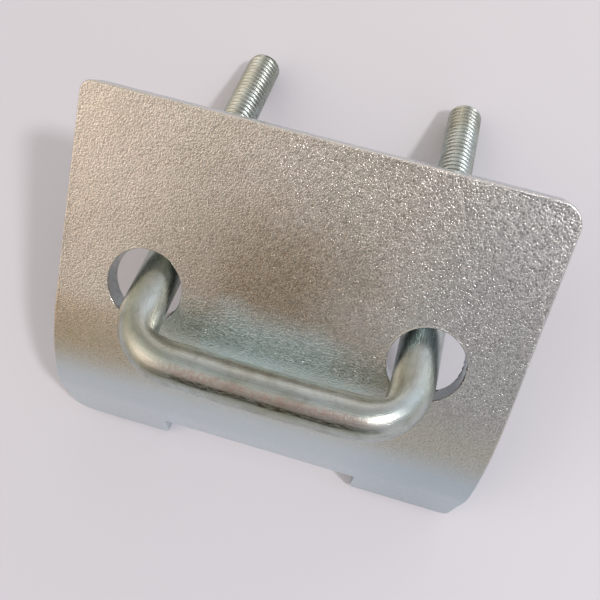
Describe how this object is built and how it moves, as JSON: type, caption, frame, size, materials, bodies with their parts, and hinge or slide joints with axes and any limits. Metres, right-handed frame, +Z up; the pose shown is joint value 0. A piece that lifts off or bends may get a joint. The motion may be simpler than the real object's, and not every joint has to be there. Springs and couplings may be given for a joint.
{
  "type": "U-bolt beam clamp",
  "caption": "Clamp for a strut channel: a thick zinc-plated steel plate bent to a notched lip, on a square-bend U-bolt that passes through oversize holes, with nuts and washers.",
  "frame": {"origin": "on the table, under the middle of the bounding box, with the clamp lying on its two feet and the tips of its legs", "axes": "+X along the plate's width, +Y from the feet towards the tips of the legs, +Z up"},
  "size_m": [0.0866, 0.0922, 0.0509],
  "materials": {
    "plate_zinc": "rough zinc plating over hot-rolled plate, fine sandy grain",
    "rod_zinc": "zinc plating over drawn bar, satin, lightly scratched",
    "washer_zinc": "bright zinc plating",
    "nut_zinc": "bright zinc plating"
  },
  "bodies": {
    "bolt": {"u_bolt": "rod_zinc"},
    "plate": {"clamp_plate": "plate_zinc"},
    "washer_l": {"washer_left": "washer_zinc"},
    "washer_r": {"washer_right": "washer_zinc"},
    "nut_l": {"nut_left": "nut_zinc"},
    "nut_r": {"nut_right": "nut_zinc"}
  },
  "joints": [
    {"name": "plate_tilt", "type": "hinge", "parent": "bolt", "child": "plate", "pos_m": [0, -0.01806, 0.03336], "axis": [1, 0, 0], "range_deg": [0, 72]},
    {"name": "washer_slide_left", "type": "slide", "parent": "bolt", "child": "washer_l", "axis": [0, 0.9006, -0.4346], "range_m": [-0.0035, 0.034]},
    {"name": "washer_slide_right", "type": "slide", "parent": "bolt", "child": "washer_r", "axis": [0, 0.9006, -0.4346], "range_m": [-0.0035, 0.034]},
    {"name": "nut_spin_left", "type": "hinge", "parent": "washer_l", "child": "nut_l", "pos_m": [-0.0251, 0.00806, 0.02075], "axis": [0, 0.9006, -0.4346], "range_deg": [-1005, 9790]},
    {"name": "nut_spin_right", "type": "hinge", "parent": "washer_r", "child": "nut_r", "pos_m": [0.0251, 0.00806, 0.02075], "axis": [0, 0.9006, -0.4346], "range_deg": [-1005, 9790]}
  ],
  "couplings": [
    {"joint": "washer_slide_left", "follows": "nut_spin_left", "m_per_rad": 0.00019894},
    {"joint": "washer_slide_right", "follows": "nut_spin_right", "m_per_rad": 0.00019894}
  ]
}
